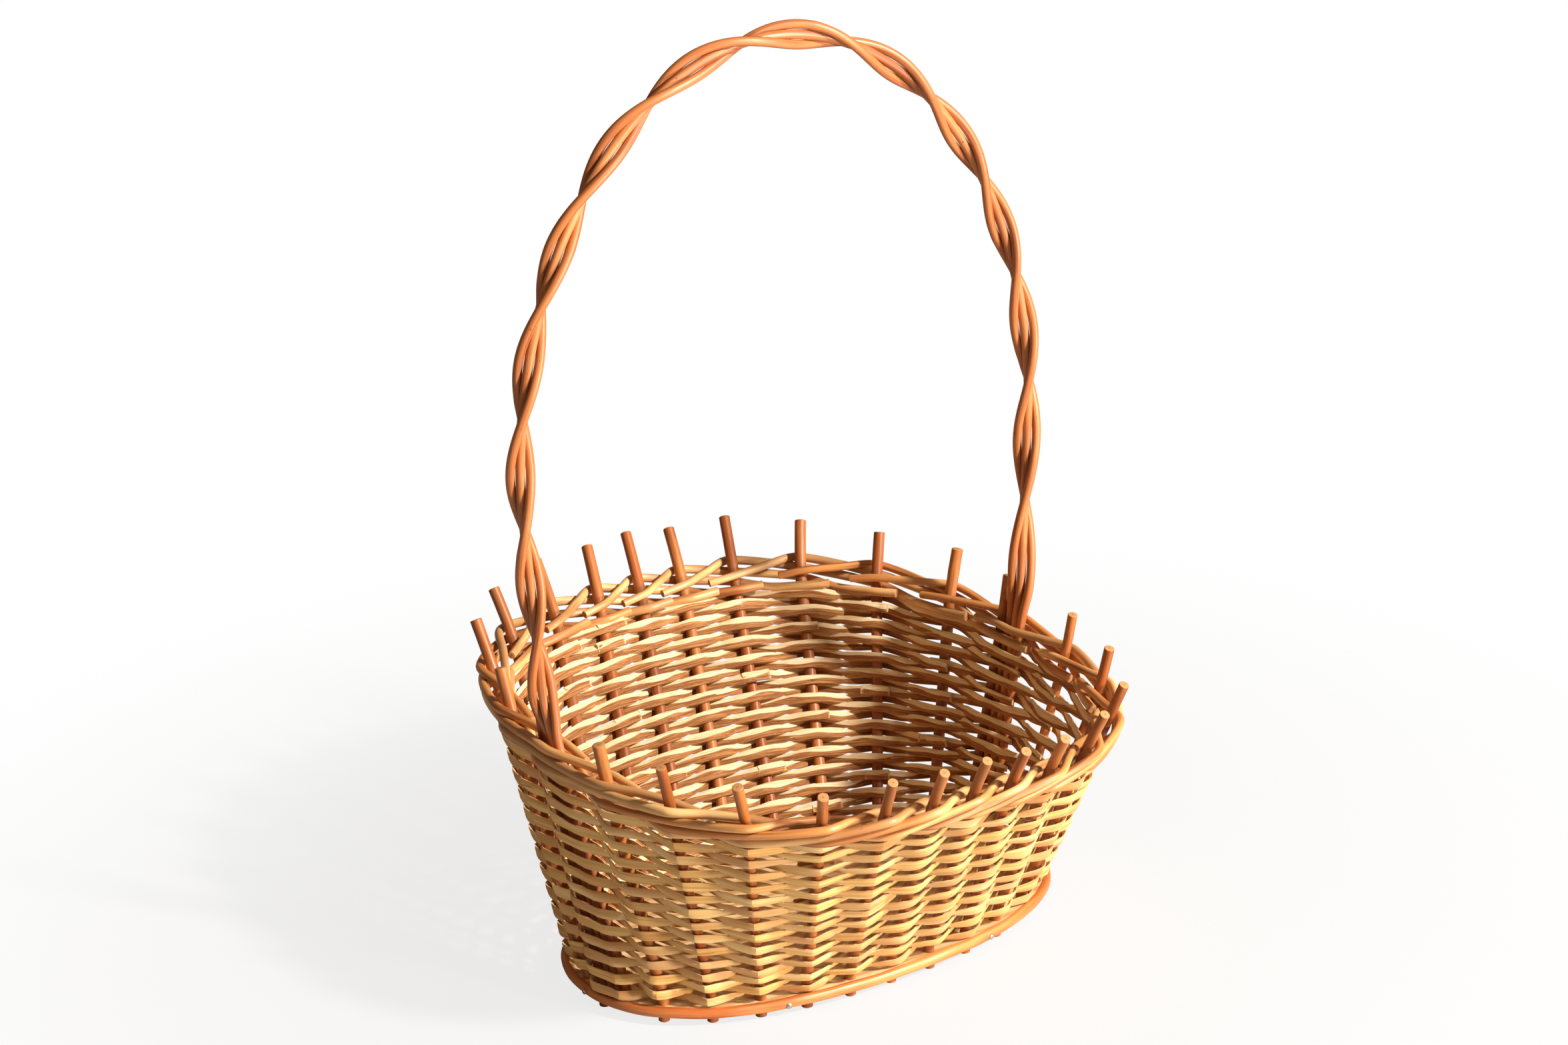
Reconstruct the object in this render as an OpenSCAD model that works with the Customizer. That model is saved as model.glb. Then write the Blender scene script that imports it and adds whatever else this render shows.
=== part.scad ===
// Wicker collection basket with a twisted three-rod handle.
// Origin on the ground under the middle of the rim, +Z up, the handle in the XZ plane, millimetres.

/* [Rim] */
// Half width of the rim along the handle, at the stake tops
rim_half_x = 160; // [130:1:200]
// Half depth of the rim across the handle, at the stake tops
rim_half_y = 207; // [170:1:250]
// Squareness of the rim outline, 2 is an ellipse
rim_square = 2.7; // [2:0.1:3.5]

/* [Base] */
// Half width of the ring of stake feet along the handle
base_half_x = 151; // [125:1:190]
// Half depth of the ring of stake feet across the handle
base_half_y = 87; // [75:1:130]
// Squareness of the base outline
base_square = 2.3; // [2:0.1:3.5]
// Turn of the base against the rim, in degrees
base_turn = 4.6; // [0:0.2:8]
// How far the base stands in front of the middle of the rim
base_forward = 15; // [0:1:25]
// Shift of the stake feet along the base outline, which makes the stakes lean sideways
foot_shift = 24; // [0:1:45]
// More of that shift at the middle of the back
back_shift = 10; // [0:1:20]
// Board beyond the centres of the stake feet
board_edge = 4.8; // [4.6:0.1:8]
// Height of the underside of the board over the ground
board_bottom = 4.2; // [1:0.1:6]
// Thickness of the board
board_thick = 6.5; // [5:0.5:10]

/* [Hoop] */
// Thickness of the hoop round the board
hoop_thick = 3.8; // [3:0.1:6]
// Height of the hoop
hoop_height = 6.2; // [5:0.1:10]
// Height of the lower edge of the hoop over the ground
hoop_bottom = 5; // [1:0.1:6]
// Gap between the hoop and the edge of the board
hoop_fit = 0.1; // [0.05:0.05:0.4]
// Number of nails in the hoop
nail_count = 6; // [3:1:10]
// Diameter of a nail
nail_dia = 1.6; // [1:0.1:2.2]
// Diameter of a nail head
nail_head_dia = 3.4; // [2.5:0.1:4]
// Thickness of a nail head
nail_head = 0.8; // [0.5:0.1:1.2]
// Depth of a nail in the board
nail_depth = 8; // [5:0.5:12]
// Gap round a nail
nail_fit = 0.05; // [0.02:0.01:0.15]

/* [Stakes] */
// Number of stakes between the handle ends on the back half
back_stakes = 11; // [11:2:15]
// Number of stakes between the handle ends on the front half
front_stakes = 13; // [11:2:15]
// Diameter of a stake
stake_dia = 7.2; // [5:0.1:8]
// Step in from the stake to its foot, all round
foot_step = 0.3; // [0.2:0.05:0.6]
// Gap round a stake foot in the board
foot_fit = 0.1; // [0.05:0.05:0.3]
// Swelling of a stake, all round, where it bends outward above the board
knuckle = 0.25; // [0.2:0.05:0.3]
// Length of a stake above the border
stake_above = 19; // [8:0.5:40]
// How far the stake tops draw together at the middle of the front and the back
top_crowding = 0.07; // [0:0.01:0.09]
// How far the stake feet draw together there
foot_crowding = 0; // [0:0.01:0.05]

/* [Weave] */
// Height of the woven wall, from the hoop to the border
weave_height = 125; // [90:1:150]
// Number of pairs of short rows, each with three rows that go all round
short_pairs = 5; // [1:1:5]
// Number of stakes over which the rows close up past the end of a short row
closing = 3; // [2:1:4]
// Greatest height of a skein where it passes a stake
skein_height = 8.6; // [6:0.1:9]
// Height of a skein there against the height of one row
skein_share = 1.48; // [1.2:0.02:1.6]
// Height of a skein where it crosses between two stakes, against the height of one row
crossing_share = 0.8; // [0.6:0.02:0.84]
// Greatest height of a skein there
crossing_height = 5; // [3.5:0.1:6]
// Thickness of a skein
skein_thick = 1.8; // [1.2:0.1:2.2]
// Gap between a skein or border rod and the swelling of the stakes
weave_fit = 0.35; // [0.1:0.05:0.4]
// Gap between the two ends of a skein
skein_gap = 1; // [0.6:0.1:3]
// Length of a short row past its first and its last stake
skein_tail = 4; // [2:0.5:8]

/* [Border] */
// Diameter of a border rod
border_dia = 5.4; // [3.5:0.1:6]
// Gap between two border rods, and between them and the top row
border_fit = 0.2; // [0.1:0.05:0.5]
// Stakes from the start of a border rod to its end
border_span = 4; // [3:1:5]
// Gap between the end of one border rod and the start of the next, inside a stake
border_gap = 1.5; // [0.6:0.1:4]
// How far the rods fall from that gap's one side to the other, against their step
border_fall = 0.5; // [0.2:0.1:1]

/* [Handle] */
// Diameter of a handle rod
handle_dia = 5.6; // [4.5:0.1:6.5]
// Gap between two handle rods
handle_fit = 0.15; // [0.1:0.05:0.4]
// Gap under the lower ends of the handle rods
handle_seat = 0.2; // [0.1:0.05:0.5]
// Height of the straight legs over the stake tops
leg_height = 120; // [80:1:180]
// Half width of the arch at the top of the legs
arch_half_x = 166; // [120:1:200]
// Height of the arch over the legs
arch_height = 239; // [150:1:300]
// Half turns of the twist from one end of the free handle to the other
half_turns = 14; // [8:1:18]
// How much tighter the twist gets towards the right end
twist_gather = 0.4; // [0:0.1:1]

/* [Hidden] */
$fn = 48;
round_sides = 6;
outline_steps = 96;
rings_per_turn = 8;
table_steps = 360;
bore_over = 1;

back_gaps = back_stakes + 1;
front_gaps = front_stakes + 1;
stakes = back_gaps + front_gaps;

stake_r = stake_dia / 2;
foot_dia = stake_dia - 2 * foot_step;
foot_bore = foot_dia + 2 * foot_fit;
knuckle_r = stake_r + knuckle;
border_r = border_dia / 2;
handle_r = handle_dia / 2;
handle_pitch = handle_dia + handle_fit;

board_top = board_bottom + board_thick;
bend_z = board_top + sqrt(pow(knuckle_r + foot_fit, 2) - pow(foot_bore / 2, 2));
hoop_top = hoop_bottom + hoop_height;
nail_z = board_bottom + board_thick / 2;
weave_low = max(hoop_top, board_top) + border_fit;
border_step = border_dia + border_fit;
border_low = weave_low + weave_height + border_fit + border_r;
border_levels = border_span - 1;
border_top = border_low + border_levels * border_step + border_r;
stake_top = border_top + stake_above;
shoulder = stake_top + leg_height;
twist_low = border_top + border_fit;

function two_digits(i) = str(i < 10 ? "0" : "", i);
stake_names = [for (k = [0:stakes - 1]) str("stake_", two_digits(k + 1))];
set_rows = 5;
round_rows = 3;
rows = set_rows * short_pairs + 1;
function is_short(r) = r % set_rows >= round_rows;
full_rows = [for (r = [0:rows - 1]) if (!is_short(r)) r];
row_names = [for (i = [0:len(full_rows) - 1]) str("weave_row_", two_digits(i + 1))];
short_names = [for (p = [0:short_pairs - 1]) str("short_rows_", p + 1)];
border_names = ["border_rods_right", "border_rods_back", "border_rods_left", "border_rods_front"];
handle_names = [for (j = [0:2]) str("handle_rod_", j + 1)];

// Rounded outline, and the angle at each length along it
function unit(v) = v / norm(v);
function rounded(a, hx, hy, n) = [
    hx * sign(cos(a)) * pow(abs(cos(a)), 2 / n),
    hy * sign(sin(a)) * pow(abs(sin(a)), 2 / n)
];
function step_at(i, hx, hy, n) =
    norm(rounded((i + 1) * 360 / table_steps, hx, hy, n) - rounded(i * 360 / table_steps, hx, hy, n));
function length_table(hx, hy, n) = [
    for (i = 0, s = 0; i <= table_steps; s = s + step_at(i, hx, hy, n), i = i + 1)
        [s, i * 360 / table_steps]
];
rim_table = length_table(rim_half_x, rim_half_y, rim_square);
base_table = length_table(base_half_x, base_half_y, base_square);
base_length = base_table[table_steps][0];
rim_length = rim_table[table_steps][0];
function wrap(f) = f - floor(f);
function turned(p, a) = [p.x * cos(a) - p.y * sin(a), p.x * sin(a) + p.y * cos(a)];
function rim_xy(f) = rounded(lookup(wrap(f) * rim_length, rim_table), rim_half_x, rim_half_y, rim_square);
function base_xy(f) = [0, -base_forward] + turned(
    rounded(lookup(wrap(f) * base_length, base_table), base_half_x, base_half_y, base_square), base_turn);
share_step = 0.002;
function rim_along(f) = unit(rim_xy(f + share_step) - rim_xy(f - share_step));
function base_along(f) = unit(base_xy(f + share_step) - base_xy(f - share_step));
function base_out(f) = turned(base_along(f), -90);

// Places of the stakes round the basket, from the right handle end through the back
function halves(k) = k <= back_gaps ? k / back_gaps : 1 + (k - back_gaps) / front_gaps;
function crowded(v, c) = (v + c * sin(360 * v)) / 2;
rim_share = [for (k = [0:stakes - 1]) crowded(halves(k), top_crowding)];
function shift_at(v) = foot_shift + back_shift * max(0, sin(180 * v));
foot_share = [
    for (k = [0:stakes - 1]) crowded(halves(k), foot_crowding) + shift_at(halves(k)) / base_length
];

// The handle ends are groups: three rods with the stake beside them, on the +Y side
function is_group(k) = k == 0 || k == back_gaps;
function group_side(k) = k == 0 ? 1 : -1;
group_stake = handle_pitch + handle_r + handle_fit + knuckle_r;
function stake_along(k) = is_group(k) ? group_side(k) * group_stake : 0;
function group_low(k) = !is_group(k) ? 0 : k == 0 ? -handle_pitch : -group_stake;
function group_high(k) = !is_group(k) ? 0 : k == 0 ? group_stake : handle_pitch;

function foot_at(k, along) = base_xy(foot_share[k]) + along * base_along(foot_share[k]);
function top_at(k, along) = rim_xy(rim_share[k]) + along * rim_along(rim_share[k]);
function with_z(p, z) = [p.x, p.y, z];
function wall_share(z) = (z - bend_z) / (stake_top - bend_z);
function wall_at(k, along, z) =
    with_z(foot_at(k, along) + wall_share(z) * (top_at(k, along) - foot_at(k, along)), z);
wall_up = [for (k = [0:stakes - 1]) unit(with_z(top_at(k, 0) - foot_at(k, 0), stake_top - bend_z))];
wall_along = [
    for (k = [0:stakes - 1]) unit(with_z(rim_along(rim_share[k]) + base_along(foot_share[k]), 0))
];
wall_out = [for (k = [0:stakes - 1]) unit(cross(wall_along[k], wall_up[k]))];
function next(k) = (k + 1) % stakes;
function before(k) = (k + stakes - 1) % stakes;
function gap_middle(k, z) = (wall_at(k, group_high(k), z) + wall_at(next(k), group_low(next(k)), z)) / 2;
function gap_up(k) = unit(wall_up[k] + wall_up[next(k)]);
function gap_out(k) = unit(wall_out[k] + wall_out[next(k)]);

// Distance from a stake to the middle of a strand that passes it and slopes off on both sides
function fall(k, middle, along, z, side) = -side * (middle - wall_at(k, along, z)) * wall_out[k];
function run(k, middle, along, z) = abs((middle - wall_at(k, along, z)) * wall_along[k]);
function slope_of(reach, drop, length) = max(0, (reach + drop) / length);
function slope_reach(slope, half) = (knuckle_r + weave_fit) * sqrt(1 + slope * slope) + half;
function reach_once(reach, drop, length, half) = slope_reach(slope_of(reach, drop, length), half);
function reach_one_way(k, middle, along, z, side, half) =
    let (
        drop = fall(k, middle, along, z, side), length = run(k, middle, along, z),
        first = reach_once(knuckle_r + half, drop, length, half),
        second = reach_once(first, drop, length, half))
    reach_once(second, drop, length, half);
function reach(k, z, side, half) = max(
    reach_one_way(k, gap_middle(k, z), group_high(k), z, side, half),
    reach_one_way(k, gap_middle(before(k), z), group_low(k), z, side, half));
// The middle of a strand that passes a stake stays level with the middle of the gap
function passing(k, along, z, side, half) =
    let (way = side * reach(k, z, side, half) * wall_out[k])
    wall_at(k, along, z - way.z) + way;

// A sweep is a list of rings with equal numbers of points
function side_faces(rings, n, total) = [
    for (i = [0:rings - 1], j = [0:n - 1])
        let (a = i * n + j, b = i * n + (j + 1) % n)
        each [[a, b, (b + n) % total], [a, (b + n) % total, (a + n) % total]]
];
function cap(start, n, flip) = [
    for (j = [1:n - 2]) flip ? [start, start + j, start + j + 1] : [start, start + j + 1, start + j]
];
module open_sweep(rings) {
    n = len(rings[0]);
    last = (len(rings) - 1) * n;
    sides = side_faces(len(rings) - 1, n, last + n);
    polyhedron(
        points = [for (ring = rings) each ring],
        faces = concat(sides, cap(0, n, false), cap(last, n, true)));
}
module closed_sweep(rings) {
    n = len(rings[0]);
    polyhedron(
        points = [for (ring = rings) each ring],
        faces = side_faces(len(rings), n, len(rings) * n));
}
function round_ring(p, u, v, r) = [
    for (i = [0:round_sides - 1])
        let (a = (i + 0.5) * 360 / round_sides)
        p + r * (cos(a) * u + sin(a) * v)
];

// Base
function base_outline(over) = [
    for (i = [0:outline_steps - 1]) base_xy(i / outline_steps) + over * base_out(i / outline_steps)
];
hoop_inside = board_edge + hoop_fit;
hoop_outside = hoop_inside + hoop_thick;
nail_gaps = [for (j = [0:nail_count - 1]) round((j + 0.5) * stakes / nail_count) % stakes];
function nail_share(k) = wrap(
    (foot_share[k] + foot_share[next(k)] + (next(k) == 0 ? 1 : 0)
        + (group_high(k) + group_low(next(k))) / base_length) / 2);

module at_nail(k) {
    f = nail_share(k);
    p = base_xy(f) + hoop_outside * base_out(f);
    way = base_out(f);
    translate([p.x, p.y, nail_z])
        rotate([0, 90, atan2(way.y, way.x)])
            children();
}
module nail_bores() {
    for (k = nail_gaps)
        at_nail(k)
            translate([0, 0, -hoop_thick - hoop_fit - nail_depth])
                cylinder(d = nail_dia + 2 * nail_fit, h = hoop_thick + hoop_fit + nail_depth + bore_over);
}
module base_board() {
    color("#d9b98a")
        difference() {
            translate([0, 0, board_bottom])
                linear_extrude(board_thick)
                    polygon(base_outline(board_edge));
            for (k = [0:stakes - 1])
                translate(with_z(foot_at(k, stake_along(k)), board_bottom - bore_over))
                    cylinder(d = foot_bore, h = board_thick + 2 * bore_over);
            nail_bores();
        }
}
// The hoop is flat inside and rounded outside
hoop_section = [
    [0, 0], [0.55, 0], [0.9, 0.2], [1, 0.5], [0.9, 0.8], [0.55, 1], [0, 1]
];
function hoop_ring(f) = [
    for (q = hoop_section)
        with_z(base_xy(f) + (hoop_inside + q.x * hoop_thick) * base_out(f), hoop_bottom + q.y * hoop_height)
];
module base_hoop() {
    color("#b9642a")
        difference() {
            closed_sweep([for (i = [0:outline_steps - 1]) hoop_ring(i / outline_steps)]);
            nail_bores();
        }
}
module hoop_nails() {
    shank = hoop_thick + hoop_fit + nail_depth - nail_fit;
    color("silver")
        for (k = nail_gaps)
            at_nail(k) {
                translate([0, 0, -shank])
                    cylinder(d = nail_dia, h = shank + nail_head);
                translate([0, 0, nail_fit])
                    cylinder(d = nail_head_dia, h = nail_head);
            }
}

// Stakes: a foot in the board, a knuckle that sits on the edge of its bore, and a leaning rod
module stake(k) {
    along = stake_along(k);
    bend = with_z(foot_at(k, along), bend_z);
    rod = with_z(top_at(k, along), stake_top) - bend;
    color("#c8803f") {
        translate([bend.x, bend.y, 0])
            cylinder(d = foot_dia, h = bend_z);
        translate(bend)
            rotate([0, acos(rod.z / norm(rod)), atan2(rod.y, rod.x)]) {
                sphere(r = knuckle_r);
                cylinder(d = stake_dia, h = norm(rod));
            }
    }
}

// Weave: each row passes outside every second stake, and inside the ones between
function row_side(r, k) = (r + k) % 2 == 0 ? 1 : -1;
// A full row starts and ends behind one of the back stakes, inside the basket
function row_start(r) = 1 + r % 2 + 2 * ((3 * r) % 5);
// A short row starts inside behind the right handle end and ends inside on the front half
function short_start(r) = 1 + r % 2;
function short_end(r) =
    let (e = back_gaps + 1 + 2 * ((3 * floor(r / set_rows)) % short_pairs))
    e + (r + e + 1) % 2;
// Past the ends of a short row the others close up, so each row has a weight at each stake
function stakes_past(r, u) = max(short_start(r) - u, u - short_end(r), 0);
function row_weight(r, k) =
    is_short(r) ? max(0, 1 - min(stakes_past(r, k), stakes_past(r, k - stakes)) / closing) : 1;
row_ranks = [
    for (k = [0:stakes - 1])
        [for (r = 0, s = 0; r < rows; s = s + row_weight(r, k), r = r + 1) s + (row_weight(r, k) - 1) / 2]
];
function last_rank(k) = row_ranks[k][rows - 1];
function mean_pitch(k) = weave_height / (last_rank(k) + 1);
function pass_height(k) = min(skein_height, skein_share * mean_pitch(k));
function cross_height(k) = min(crossing_height, crossing_share * min(mean_pitch(k), mean_pitch(next(k))));
function row_z(r, k) =
    weave_low + pass_height(k) / 2 + row_ranks[k][r] / last_rank(k) * (weave_height - pass_height(k));
function skein_ring(p, out, up, height) = [
    p - skein_thick / 2 * out - height / 2 * up,
    p + skein_thick / 2 * out - height / 2 * up,
    p + skein_thick / 2 * out + height / 2 * up,
    p - skein_thick / 2 * out + height / 2 * up
];
function pass_ring(r, k, along, side) =
    let (middle = passing(k, along, row_z(r, k), side, skein_thick / 2))
    skein_ring(middle, wall_out[k], wall_up[k], pass_height(k));
function cross_ring(r, k) =
    let (middle = gap_middle(k, (row_z(r, k) + row_z(r, next(k))) / 2))
    skein_ring(middle, gap_out(k), gap_up(k), cross_height(k));
// The rings of row r from one stake to the one before another
function row_run(r, first, last) = [
    for (i = [first + 1:last - 1])
        let (k = i % stakes, side = row_side(r, k))
        each concat(
            [cross_ring(r, before(k)), pass_ring(r, k, group_low(k), side)],
            is_group(k) ? [pass_ring(r, k, group_high(k), side)] : [])
];
function full_rings(r) =
    let (start = row_start(r))
    concat(
        [pass_ring(r, start, skein_gap / 2, -1)],
        row_run(r, start, start + stakes),
        [cross_ring(r, before(start)), pass_ring(r, start, -skein_gap / 2, -1)]);
function short_rings(r) =
    let (start = short_start(r), end = short_end(r))
    concat(
        [pass_ring(r, start, -skein_tail, -1), pass_ring(r, start, 0, -1)],
        row_run(r, start, end),
        [cross_ring(r, before(end)), pass_ring(r, end, 0, -1), pass_ring(r, end, skein_tail, -1)]);
module weave_row(i) {
    color("#e3bd7c") open_sweep(full_rings(full_rows[i]));
}
module short_rows(p) {
    color("#e3bd7c")
        for (r = [set_rows * p + round_rows:set_rows * (p + 1) - 1])
            open_sweep(short_rings(r));
}

// Border: each rod climbs outside three stakes and falls inside the next, where it meets another
function border_z(level) = border_low + level * border_step;
function border_pass(k, along, level, side) =
    round_ring(passing(k, along, border_z(level), side, border_r), wall_out[k], wall_up[k], border_r);
function border_cross(k, level) =
    round_ring(gap_middle(k, border_z(level)), gap_out(k), gap_up(k), border_r);
function group_middle(k) = (group_low(k) + group_high(k)) / 2;
function border_rings(i) =
    let (
        end = (i + border_span) % stakes,
        start_level = (border_levels - border_fall) / 2,
        end_level = (border_levels + border_fall) / 2)
    concat(
        [border_pass(i, group_middle(i) + border_gap / 2, start_level, -1)],
        is_group(i) ? [border_pass(i, group_high(i), start_level, -1)] : [],
        [border_cross(i, 0)],
        [for (s = [1:border_levels])
            let (k = (i + s) % stakes, level = s - 0.5)
            each concat(
                [border_pass(k, group_low(k), level, 1)],
                is_group(k) ? [border_pass(k, group_high(k), level, 1)] : [])],
        [border_cross(before(end), border_levels)],
        is_group(end) ? [border_pass(end, group_low(end), end_level, -1)] : [],
        [border_pass(end, group_middle(end) - border_gap / 2, end_level, -1)]);
// The four groups start at the middles of the corners
function border_group(i) = floor(((i + floor(stakes / 8)) % stakes) * 4 / stakes);
module border_rods(group) {
    color("#cf8c4b")
        for (i = [0:stakes - 1])
            if (border_group(i) == group)
                open_sweep(border_rings(i));
}

// Handle: a flat ribbon of three rods up the left wall, over the arch and down the right wall
wall_rings = 4;
free_rings = half_turns * rings_per_turn;
foot_z = board_top + handle_seat;
// A leg goes on along the wall as far as the stake tops, then straight to the arch
function leg_low(k) = wall_at(k, 0, twist_low);
function leg_bend(k) = wall_at(k, 0, stake_top);
function leg_high(k) = [(k == 0 ? 1 : -1) * arch_half_x, 0, shoulder];
function neck(k) = norm(leg_bend(k) - leg_low(k));
function leg_length(k) = neck(k) + norm(leg_high(k) - leg_bend(k));
function leg_at(k, d) =
    d < neck(k) ? leg_low(k) + d * unit(leg_bend(k) - leg_low(k))
    : leg_bend(k) + (d - neck(k)) * unit(leg_high(k) - leg_bend(k));
function arch_out(a) = unit([-cos(a) / arch_half_x, 0, sin(a) / arch_height]);
function arch_at(a) = [-arch_half_x * cos(a), 0, shoulder + arch_height * sin(a)];
arch_step = 180 / table_steps;
arch_table = [
    for (i = 0, s = 0; i <= table_steps;
        s = s + norm(arch_at((i + 1) * arch_step) - arch_at(i * arch_step)), i = i + 1) [s, i * arch_step]
];
arch_length = arch_table[table_steps][0];
left_leg = leg_length(back_gaps);
free_length = left_leg + arch_length + leg_length(0);
// Place, outward direction and twist at a length along the free handle, from its left end
function arch_angle(d) = lookup(d - left_leg, arch_table);
function free_at(d) =
    d < left_leg ? leg_at(back_gaps, d)
    : d > left_leg + arch_length ? leg_at(0, free_length - d)
    : arch_at(arch_angle(d));
function twist_at(t) = 180 * half_turns * (t + twist_gather * pow(t, 4) * (1 - t));
function ribbon_ring(t, offset) =
    let (
        d = t * free_length, out = arch_out(arch_angle(d)),
        wide = [0, cos(twist_at(t)), 0] + sin(twist_at(t)) * out)
    round_ring(free_at(d) + offset * wide, [0, 1, 0], out, handle_r);
function wall_ring(k, t, offset) =
    let (z = foot_z + t * (twist_low - foot_z))
    round_ring(wall_at(k, group_side(k) * offset, z), group_side(k) * wall_along[k], wall_out[k], handle_r);
function handle_rings(offset) =
    let (far_offset = offset * cos(180 * half_turns))
    concat(
        [for (i = [0:wall_rings - 1]) wall_ring(back_gaps, i / wall_rings, offset)],
        [for (i = [0:free_rings]) ribbon_ring(i / free_rings, offset)],
        [for (i = [wall_rings - 1:-1:0]) wall_ring(0, i / wall_rings, far_offset)]);
module handle_rod(j) {
    color("#c98345") open_sweep(handle_rings((j - 1) * handle_pitch));
}

base_board();
base_hoop();
hoop_nails();
for (k = [0:stakes - 1]) stake(k);
for (i = [0:len(full_rows) - 1]) weave_row(i);
for (p = [0:short_pairs - 1]) short_rows(p);
for (g = [0:3]) border_rods(g);
for (j = [0:2]) handle_rod(j);
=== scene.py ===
# %% [markdown]
# # A wicker gathering basket
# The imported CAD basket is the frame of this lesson. Its solids have the right places but plain
# shapes, such as flat straps for the woven skeins and six-sided rods. Each one is replaced here by a
# strand that looks like split or peeled willow, and the flat board keeps its CAD shape.

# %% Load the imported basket
import math

import bpy
import numpy as np
from mathutils import Matrix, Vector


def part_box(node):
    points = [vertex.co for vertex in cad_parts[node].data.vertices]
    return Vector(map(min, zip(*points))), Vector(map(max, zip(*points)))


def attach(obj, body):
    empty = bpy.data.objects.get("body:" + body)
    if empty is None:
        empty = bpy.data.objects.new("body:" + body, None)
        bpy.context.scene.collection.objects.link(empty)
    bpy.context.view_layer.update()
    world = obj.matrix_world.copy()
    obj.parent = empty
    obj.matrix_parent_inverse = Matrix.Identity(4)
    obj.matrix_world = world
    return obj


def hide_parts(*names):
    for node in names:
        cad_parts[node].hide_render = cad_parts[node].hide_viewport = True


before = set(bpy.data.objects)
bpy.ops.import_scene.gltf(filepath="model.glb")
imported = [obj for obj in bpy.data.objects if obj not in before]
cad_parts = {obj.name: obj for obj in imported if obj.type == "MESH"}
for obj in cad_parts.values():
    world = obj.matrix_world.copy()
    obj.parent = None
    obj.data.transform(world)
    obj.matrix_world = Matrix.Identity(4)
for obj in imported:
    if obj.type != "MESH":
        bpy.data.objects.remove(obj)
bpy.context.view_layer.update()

# %% [markdown]
# ## The plan of the wall
# Every strand follows the same wall, so its plan comes first. The rim and the ring of stake feet are
# rounded rectangles, and the feet stand a little to the front. A stake is a straight line from a foot
# to a place on the rim, and the feet are shifted along the base, which makes the stakes lean sideways.
# The numbers repeat those of the CAD source, in metres, because a strand has to lie where its CAD
# solid lies.

# %% Rounded outlines
TAU = 2 * math.pi
OUTLINE_POINTS = 361
# A direction along an outline is taken between two places this share of its length away
NEAR = 0.002


def unit(v):
    return v / np.linalg.norm(v, axis=-1, keepdims=True)


def lengths_of(path):
    """How far along a path each of its points lies."""
    return np.concatenate([[0], np.cumsum(np.linalg.norm(np.diff(path, axis=0), axis=1))])


class Outline:
    """A rounded rectangle that is read by the share of its length."""

    def __init__(self, half_x, half_y, square, turn=0.0, forward=0.0):
        self.half_x, self.half_y, self.power = half_x, half_y, 2 / square
        self.turn, self.forward = turn, forward
        self.angles = np.linspace(0, TAU, OUTLINE_POINTS)
        self.lengths = lengths_of(self.rounded(self.angles))

    def rounded(self, a):
        c, s = np.cos(a), np.sin(a)
        x = self.half_x * np.sign(c) * np.abs(c) ** self.power
        y = self.half_y * np.sign(s) * np.abs(s) ** self.power
        tc, ts = math.cos(self.turn), math.sin(self.turn)
        return np.stack([x * tc - y * ts, x * ts + y * tc - self.forward, 0 * x], -1)

    def at(self, share):
        return self.rounded(np.interp(np.mod(share, 1) * self.lengths[-1], self.lengths, self.angles))

    def along(self, share):
        return unit(self.at(share + NEAR) - self.at(share - NEAR))


rim = Outline(half_x=0.160, half_y=0.207, square=2.7)
feet = Outline(half_x=0.151, half_y=0.087, square=2.3, turn=math.radians(4.6), forward=0.015)
print("rim", round(rim.lengths[-1], 3), "m round, feet", round(feet.lengths[-1], 3), "m round")

# %% Lines of the stakes
BACK_GAPS, FRONT_GAPS = 12, 14
STAKES = BACK_GAPS + FRONT_GAPS
BOARD_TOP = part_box("base_board")[1].z
BEND_Z = BOARD_TOP + 0.00201
STAKE_TOP = 0.1778
STAKE_R, KNUCKLE_R, WEAVE_FIT = 0.0036, 0.00385, 0.00035
HANDLE_R, HANDLE_PITCH, HANDLE_FIT = 0.0028, 0.00575, 0.00015
GROUP_STAKE = HANDLE_PITCH + HANDLE_R + HANDLE_FIT + KNUCKLE_R
# The stakes crowd in the middle of the back and of the front, and the back has the larger foot shift
CROWD, FOOT_SHIFT, BACK_SHIFT = 0.07, 0.024, 0.010

numbers = np.arange(STAKES)
halves = np.where(
    numbers <= BACK_GAPS, numbers / BACK_GAPS, 1 + (numbers - BACK_GAPS) / FRONT_GAPS)
rim_share = (halves + CROWD * np.sin(TAU * halves)) / 2
BACKWARD = np.maximum(0, np.sin(math.pi * halves))
foot_share = halves / 2 + (FOOT_SHIFT + BACK_SHIFT * BACKWARD) / feet.lengths[-1]
TOP, TOP_ALONG = rim.at(rim_share), rim.along(rim_share)
FOOT, FOOT_ALONG = feet.at(foot_share), feet.along(foot_share)
UP = unit(TOP - FOOT + np.array([0, 0, STAKE_TOP - BEND_Z]))
ALONG = unit(TOP_ALONG + FOOT_ALONG)
OUT = unit(np.cross(ALONG, UP))
# The stakes of the front are drawn thinner, as they are on the real basket
THINNER = np.where(numbers > BACK_GAPS + 1, 0.0006, 0.0)
most_lean = math.degrees(math.acos(UP[:, 2].min()))
print(STAKES, "stakes, and the one that leans most leans", round(most_lean, 1), "degrees")

# %% [markdown]
# The two handle ends stand in the wall like very wide stakes: three handle rods and a stake side by
# side. A strand passes such a group between its lowest and its highest place along the wall.

# %% Places on the wall
RIGHT_END, LEFT_END = 0, BACK_GAPS
SKEIN_HALF = 0.0009
SLOPE_ROUNDS = 3


def group_span(k):
    """Lowest and highest place along the wall of what stands at stake k."""
    if k == RIGHT_END:
        return -HANDLE_PITCH, GROUP_STAKE
    if k == LEFT_END:
        return -GROUP_STAKE, HANDLE_PITCH
    return 0.0, 0.0


def group_spots(k):
    """The places along the wall where a strand passes stake k: two at a handle end, else one."""
    return sorted(set(group_span(k)))


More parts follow.
